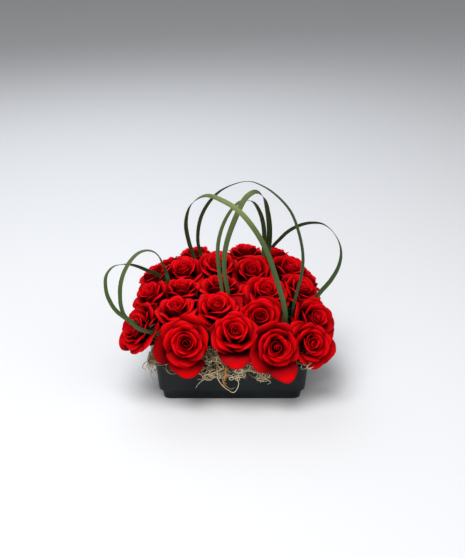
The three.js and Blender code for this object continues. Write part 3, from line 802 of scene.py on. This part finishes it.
def add_sepal(sheaf, rose, turn):
    """A narrow pointed sepal that stands out from the hip and folds back."""
    rows, columns = 7, 12
    fold = rose.rng.uniform(0.55, 1.25)
    u = np.linspace(-1, 1, rows)[:, None]
    v = np.linspace(0, 1, columns)[None, :]
    bend = 0.5 + fold * 1.7 * v
    step = rose.rng.uniform(19, 25) / columns
    outward = 5.0 + np.cumsum(np.sin(bend) * step, axis=1) - 0.9 * u * u * (1 - v)
    height = 1.0 + np.cumsum(np.cos(bend) * step, axis=1) + 0.8 * u * u
    sideways = u * (3.5 * (1 - v) ** 0.8 * (0.75 + 0.5 * np.sin(np.pi * v)) + 0.15)
    grid = rose.placed(swung(outward, sideways, height, turn))
    points, faces = shell_of(grid, SEPAL_THICKNESS)
    along = np.tile(np.repeat(v, rows, axis=0).ravel(), 2)
    sheaf.add(points, faces, green_along=along, green_own=rose.rng.uniform())


def add_leaf(sheaf, root, length, rng):
    """A toothed leaf on a short stalk, folded a little along its midrib and drooping at its tip."""
    rows, columns = 9, 18
    heading = rng.uniform(0, 2 * math.pi)
    droop = rng.uniform(0.3, 1.15)
    out = np.array([math.cos(heading), math.sin(heading), 0.35])
    side = unit(np.cross(out, UP))
    v = np.linspace(0, 1, columns)
    spine = root + (v * length)[:, None] * out + (-droop * length * v ** 2)[:, None] * UP
    # where it would sink into the moss it comes to lie on it
    spine[:, 2] = LEAF_REST + 4 * np.logaddexp(0, (spine[:, 2] - LEAF_REST) / 4)
    stalk = 0.16
    blade = np.clip((v - stalk) / (1 - stalk), 0, 1)
    half = 0.3024 * length * np.sin(np.pi * blade ** 0.72) + 0.5
    half = half * (1 + 0.07 * np.where(np.arange(columns) % 2, 1, -1))
    u = np.linspace(-1, 1, rows)[:, None]
    grid = (spine[None] + (u * half)[..., None] * side
            + (np.abs(u) * half * 0.28)[..., None] * UP)
    points, faces = shell_of(grid, LEAF_THICKNESS)
    # painted shade: the leaves are given the deeper green where they fill the gaps down among the stems
    sheaf.add(points, faces, green_along=0.9, green_own=rng.uniform(0, 0.4))


# ---- grass

BLADE_THICKNESS = 0.55
# how far a blade sways to and fro, in degrees
BLADE_SWAY = 9


def make_blade(number, name, width, middle, facing, route, material):
    """A long leaf, keeled along its middle, with its flat turned away from the middle of its loop."""
    rows, samples = 9, 110
    line = bowed(route, samples)
    along = unit(np.gradient(line, axis=0))
    twist = np.interp(np.linspace(0, 1, samples), np.linspace(0, 1, len(facing)), facing)[:, None]
    outward = unit(line - np.array(middle, float))
    across = unit(np.cross(along, outward * (1 - np.abs(twist)) + FRONT * twist))
    thick = np.cross(across, along)
    v = np.linspace(0, 1, samples)
    taper = 0.62 + 0.38 * np.sin(np.pi * np.minimum(1, 0.18 + 0.9 * (1 - v)))
    rng = np.random.default_rng(BLADE_SEED + number)
    sway = math.radians(BLADE_SWAY) * np.sin(2 * math.pi * (v * 1.3 + rng.uniform()))
    across, thick = (across * np.cos(sway)[:, None] + thick * np.sin(sway)[:, None],
                     thick * np.cos(sway)[:, None] - across * np.sin(sway)[:, None])
    u = np.linspace(-1, 1, rows)
    half = width / 2 * taper
    keel = 0.16 * half[None, :] * (np.abs(u)[:, None] ** 1.3)
    grid = (line[None] + (u[:, None] * half[None, :])[..., None] * across[None]
            + keel[..., None] * thick[None])
    points, faces = shell_of(grid, BLADE_THICKNESS)
    climb = (line[:, 2] - line[:, 2].min()) / np.ptp(line[:, 2])
    # painted light: the blade is paler where its flat turns to the front and high in its loop, darker
    # where it turns away
    young = np.clip((twist[:, 0] + 0.2) / 0.9, 0, 1) * (0.2 + 0.8 * smooth((climb - 0.6) / 0.4))
    sheaf = Sheaf()
    sheaf.add(points, faces, blade_along=np.tile(v, 2 * rows),
              blade_across=np.tile(np.repeat(u, samples), 2), blade_own=rng.uniform(),
              blade_young=np.tile(young, 2 * rows))
    piece = sheaf.build(name + "_leaf", material)
    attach(piece, "root")
    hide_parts(name)


# ---- moss

# name, start and end heading, how low it hangs, how many strands
MOSS = [
    ("moss_front", -29, 27, 42, 130),
    ("moss_right", 27, 137, 56, 300),
    ("moss_back", 137, 226, 50, 260),
    ("moss_left", 226, 331, 54, 330),
]

# Towards its two corners the front rim is nearly bare: how far from its middle that reaches, in mm, and
# what share of the strands is missing there.
BARE_REACH = 112
BARE_SHARE = {"moss_right": 0.85, "moss_left": 0.75}
STRANDS_PER_CURL = 8
# how much higher than its lowest the hem is on average, at the front and elsewhere, the length of its
# waves, and the spread between strands away from the front
HEM_SWING = (5.4, 9.0)
HEM_WAVE = 13.0
HEM_SPREAD = 4.5
# for a strand in the mat and for a curl on it: half its thickness, how far from its moss's ends it starts,
# how much lower it hangs (a strand only away from the front), and its middle and spread at the front
STRAND_RADIUS, CURL_RADIUS = (0.32, 0.6), (0.42, 0.62)
STRAND_MARGIN, CURL_MARGIN = 3, 6
STRAND_SAG, CURL_SAG = 4, 7
STRAND_MIDDLE, CURL_MIDDLE = (4, 26), (6, 22)
# where the frond hangs, round the rim from the front's middle, and how far curls keep from it
FROND_TRAVEL = -10
FROND_CLEAR = 9

# single strands that have come loose and hang over the front of the tray, the first five in the middle
MIDDLE_LOOSE = 5
LOOSE = [
    [(-10, -114, 67), (-15, -121, 60), (-27, -122, 55), (-37, -121, 46), (-48, -120, 37), (-55, -118, 26)],
    [(-24, -114, 66), (-22, -121, 59), (-21, -122, 45), (-13, -121, 31), (-4, -118, 22), (2, -117, 18),
     (7, -118, 24), (10, -121, 36), (7, -122, 48), (9, -120, 58), (12, -114, 66)],
    [(-14, -114, 66), (-13, -121, 56), (-14, -122, 43), (-9, -121, 32), (-1, -118, 25), (5, -119, 29)],
    [(20, -114, 66), (27, -121, 58), (39, -122, 54), (48, -122, 46), (53, -121, 42), (58, -120, 37),
     (52, -120, 34)],
    [(24, -119, 52), (34, -122, 46), (45, -122, 43), (52, -122, 47), (60, -121, 45)],
    [(-80, -114, 66), (-74, -120, 54), (-68, -121, 47), (-62, -120, 44)],
    [(-107, -112, 67), (-100, -119, 60), (-93, -120, 57), (-83, -119, 60), (-78, -114, 67)],
    [(-98, -114, 66), (-97, -120, 58), (-90, -121, 52), (-80, -119, 53)],
    [(-108, -106, 70), (-120, -112, 72), (-130, -113, 66), (-133, -112, 58), (-128, -110, 54)],
    [(-110, -108, 68), (-118, -114, 60), (-121, -115, 48), (-117, -114, 38)],
    [(-106, -110, 69), (-122, -110, 70), (-126, -108, 58), (-121, -110, 50), (-113, -114, 52)],
    [(-112, -104, 68), (-124, -104, 62), (-130, -106, 50), (-124, -108, 44)],
]


# round the rim: a side's straight part, its bend, and the two together
RIM_STRAIGHT = 2 * (TRAY["rim_half"] - TRAY["corner"])
RIM_BEND = TRAY["corner"] * math.pi / 2
RIM_SIDE = RIM_STRAIGHT + RIM_BEND


def rim_place(travel, out):
    """A point out from the tray's middle at a travel, in mm, round its rounded square from the front."""
    half = TRAY["rim_half"] + out
    start = travel + RIM_STRAIGHT / 2
    quarter = np.floor(start / RIM_SIDE)
    local = start - quarter * RIM_SIDE
    on_bend = np.clip((local - RIM_STRAIGHT) / RIM_BEND, 0, 1) * math.pi / 2
    run = np.minimum(local, RIM_STRAIGHT) - RIM_STRAIGHT / 2
    radius = TRAY["corner"] + out
    x = run + radius * np.sin(on_bend)
    y = -(half - radius) - radius * np.cos(on_bend)
    turn = quarter * math.pi / 2
    return np.stack([x * np.cos(turn) - y * np.sin(turn), x * np.sin(turn) + y * np.cos(turn)], -1)


def travel_at(heading):
    """The travel round the rim at a heading from the middle."""
    quarter = math.floor((heading + 45) / 90)
    within = math.radians(heading - 90 * quarter)
    return quarter * RIM_SIDE + math.tan(within) * RIM_SIDE / 2


def moss_point(travel, drape, lift, hang):
    """A point on the moss: drape runs from the foam, 0, over the rim to the hanging edge, 1."""
    top = [(-30, 78), (-16, 80), (-3, 76), (5, 70), (8.5, 70 + (hang - 70) * 0.33),
           (8, 70 + (hang - 70) * 0.67), (5.5, hang)]
    places = np.linspace(0, 1, len(top))
    out = np.interp(drape, places, [p[0] for p in top])
    height = np.interp(drape, places, [p[1] for p in top])
    slope = smooth((drape - 0.25) / 0.4)
    out = out + lift * slope
    height = height + lift * (1 - slope)
    return np.concatenate([rim_place(travel, out), height[:, None]], -1)


def add_strand(sheaf, path, thick, rng, darkest=0.0, palest=1.0):
    """A strand that thins towards its ends, in a tone between the darkest and the palest."""
    sides = 5
    t = np.linspace(0, 1, len(path))
    points, faces = tube_of(path, thick * (1 - 0.6 * np.abs(2 * t - 1) ** 3), sides)
    sheaf.add(points, faces, strand_own=rng.uniform(darkest, palest), strand_along=np.tile(t, sides))


def is_bare(name, travel):
    """Whether a place is on the stretch towards a front corner where hardly any moss lies."""
    if name == "moss_right":
        return travel < BARE_REACH
    return name == "moss_left" and travel > travel_at(360) - BARE_REACH


def hem_height(index, hang, travel, rng):
    """How low a strand may hang. The fringe is uneven: some stretches hang lower than others."""
    front = index == 0
    low = hang + HEM_SWING[not front] * (1 + np.sin(travel / HEM_WAVE + index))
    return low if front else low + rng.normal(0, HEM_SPREAD)


def matted_strand(index, hang, travel, steps, ends, rng):
    """A fine strand that winds in and out of the mat."""
    t = np.linspace(0, 1, steps)
    drape = rng.beta(1.9, 1.6)
    run = rng.normal(0, 24)
    fall = rng.normal(0.05, 0.24)
    curl, turns = rng.uniform(1.5, 6), rng.uniform(0.8, 3.0)
    phase = rng.uniform(0, 2 * math.pi, 3)
    along = travel + run * (t - 0.5) + curl * np.sin(2 * math.pi * turns * t + phase[0])
    draped = drape + fall * (t - 0.5) + 0.07 * np.sin(2 * math.pi * turns * t + phase[1])
    lift = rng.uniform(-6, 2.0) + 2.2 * np.sin(2 * math.pi * turns * 0.8 * t + phase[2])
    low = hem_height(index, hang if index == 0 else hang - STRAND_SAG, travel, rng)
    return moss_point(np.clip(along, *ends), np.clip(draped, 0, 1), lift, low)


def curled_strand(index, hang, travel, ends, rng):
    """A wider curl that lies loose on top of the mat and hangs a little lower."""
    t = np.linspace(0, 1, 44)
    turns, phase = rng.uniform(1.2, 2.6), rng.uniform(0, 2 * math.pi)
    angle = 2 * math.pi * turns * t + phase
    curl = rng.uniform(3.5, 7.5)
    along = travel + rng.normal(0, 16) * (t - 0.5) + curl * np.sin(angle)
    draped = rng.uniform(0.55, 0.93) + rng.normal(0, 0.2) * (t - 0.5) + 0.014 * curl * np.cos(angle)
    lift = 2.4 + 1.4 * np.sin(angle * 0.7 + 1)
    low = hem_height(index, hang - CURL_SAG, travel, rng)
    return moss_point(np.clip(along, *ends), np.clip(draped, 0, 1), lift, low)


def strand_start(first, last, margin, middle, rng):
    """Where a strand starts between its moss's ends: anywhere, or about a middle if one is given."""
    travel = rng.uniform(first + margin, last - margin)
    if middle:
        travel = np.clip(rng.normal(*middle), first + margin, last - margin)
    return travel


def make_moss(index, name, start, end, hang, strands, material):
    """One length of moss. The front one, the first, is thicker near its middle."""
    rng = np.random.default_rng(MOSS_SEED + index)
    first, last = travel_at(start), travel_at(end)
    ends = (first + 1, last - 1)
    sheaf = Sheaf()
    for i in range(strands):
        steps = int(rng.integers(18, 32))
        middle = STRAND_MIDDLE if index == 0 and i % 2 else None
        travel = strand_start(first, last, STRAND_MARGIN, middle, rng)
        if is_bare(name, travel) and rng.uniform() < BARE_SHARE[name]:
            continue
        path = matted_strand(index, hang, travel, steps, ends, rng)
        add_strand(sheaf, path, rng.uniform(*STRAND_RADIUS), rng, palest=0.78)
    for i in range(strands // STRANDS_PER_CURL):
        middle = CURL_MIDDLE if index == 0 and i % 3 else None
        travel = strand_start(first, last, CURL_MARGIN, middle, rng)
        beside_frond = index == 0 and abs(travel - FROND_TRAVEL) < FROND_CLEAR
        if is_bare(name, travel) or beside_frond:
            continue
        path = curled_strand(index, hang, travel, ends, rng)
        # painted light: the loose curls that lie on top of the mat take only the paler tones
        add_strand(sheaf, path, rng.uniform(*CURL_RADIUS), rng, darkest=0.62)
    if name == "moss_front":
        for route in LOOSE[:MIDDLE_LOOSE]:
            add_strand(sheaf, bowed(route, 40), 0.62, rng)
    if name == "moss_left":
        for route in LOOSE[MIDDLE_LOOSE:]:
            add_strand(sheaf, bowed(route, 34), rng.uniform(0.4, 0.6), rng)
    piece = sheaf.build(name + "_strands", material)
    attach(piece, "root")
    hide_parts(name)


# ---- frond

FROND = [(-7, -112.5, 66), (-9, -122.8, 61), (-10, -124.3, 50), (-12, -119.5, 38), (-13, -114.8, 26)]


def make_frond():
    """A bent twig with short shoots that stand off to its two sides in turn."""
    rng = np.random.default_rng(FROND_SEED)
    sheaf = Sheaf()
    places = 30
    line = bowed(FROND, places)
    points, faces = tube_of(line, np.linspace(1.35, 0.6, places), 7)
    sheaf.add(points, faces)
    for i in range(6, places - 2, 2):
        side = 1 if (i // 2) % 2 else -1
        root = line[i]
        tip = root + np.array([side * rng.uniform(2.5, 5), -rng.uniform(0.3, 1.6), -rng.uniform(1.5, 4)])
        bend = (root + tip) / 2 + np.array([0, -0.5, 0.5])
        points, faces = tube_of(bowed([root, bend, tip], 7), np.linspace(0.95, 0.2, 7), 5)
        sheaf.add(points, faces)
    piece = sheaf.build("dry_frond_twig", frond_looks())
    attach(piece, "root")
    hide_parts("dry_frond")


# ---- stage


FLOOR_REACH = 6.0
CAMERA_PLACE = (0.00076, -1.4901, 0.816)
CAMERA_LENS = 67.9
# how far the camera looks down, in degrees
CAMERA_DIP = 24
# name, place, aim, size, power and colour
LIGHTS = [
    ("key", (-0.45, -0.55, 2.0), (0, 0, 0.1), 1.3, 46, (1, 1, 1)),
    ("fill", (1.3, -0.7, 1.1), (0, 0, 0.12), 1.3, 6, (1, 1, 1)),
    ("back", (-0.4, 1.3, 1.4), (0, 0, 0.12), 1.3, 14, (0.86, 0.92, 1.0)),
    ("front", (-0.5, -1.9, 1.0), (0, 0, 0.1), 1.4, 12, (1, 1, 1)),
]


def area_light(name, place, aim, size, power, colour):
    data = bpy.data.lights.new(name, "AREA")
    data.shape = "SQUARE"
    data.size = size
    data.energy = power
    data.color = colour
    lamp = bpy.data.objects.new(name, data)
    lamp.location = place
    lamp.rotation_euler = (Vector(aim) - Vector(place)).to_track_quat("-Z", "Y").to_euler()
    bpy.context.scene.collection.objects.link(lamp)


def make_floor():
    looks = Looks("plain_floor", 0.85)
    looks.surface.inputs["Base Color"].default_value = (0.62, 0.62, 0.63, 1)
    mesh = bpy.data.meshes.new("floor")
    corners = [(FLOOR_REACH * x, FLOOR_REACH * y, 0) for x, y in ((-1, -1), (1, -1), (1, 1), (-1, 1))]
    mesh.from_pydata(corners, [], [(0, 1, 2, 3)])
    mesh.materials.append(looks.material)
    floor = bpy.data.objects.new("floor", mesh)
    bpy.context.scene.collection.objects.link(floor)


def make_light():
    world = bpy.data.worlds.new("soft_white")
    world.use_nodes = True
    background = world.node_tree.nodes["Background"]
    background.inputs["Color"].default_value = (0.95, 0.97, 1.0, 1)
    background.inputs["Strength"].default_value = 0.30
    bpy.context.scene.world = world
    for row in LIGHTS:
        area_light(*row)


def make_camera():
    data = bpy.data.cameras.new("camera")
    data.lens = CAMERA_LENS
    data.sensor_width = 36
    camera = bpy.data.objects.new("camera", data)
    camera.location = CAMERA_PLACE
    camera.rotation_euler = (math.radians(90 - CAMERA_DIP), 0, 0)
    bpy.context.scene.collection.objects.link(camera)
    bpy.context.scene.camera = camera


# ---- assembly

make_camera()
make_floor()
make_light()
bpy.context.scene.view_settings.view_transform = "Standard"

make_tray()
for node, looks_of in (("foam_brick", foam_looks), ("anchor_tape", tape_looks)):
    for side in ("left", "right"):
        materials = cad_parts[f"{node}_{side}"].data.materials
        materials.clear()
        materials.append(looks_of())

roses = [Rose(number, row) for number, row in enumerate(ROSES, 1)]
petal_material = petal_looks()
stem_material = green_looks("rose_green", (0.060, 0.115, 0.030), (0.014, 0.040, 0.012), 0.5)
for rose in roses:
    make_bloom(rose, roses, petal_material)
    make_stem(rose, stem_material)

grass_material = grass_looks()
for number, (name, width, middle, facing, route) in enumerate(BLADES, 1):
    make_blade(number, name, width, middle, facing, route, grass_material)

moss_material = moss_looks()
for index, (name, start, end, hang, strands) in enumerate(MOSS):
    make_moss(index, name, start, end, hang, strands, moss_material)
make_frond()
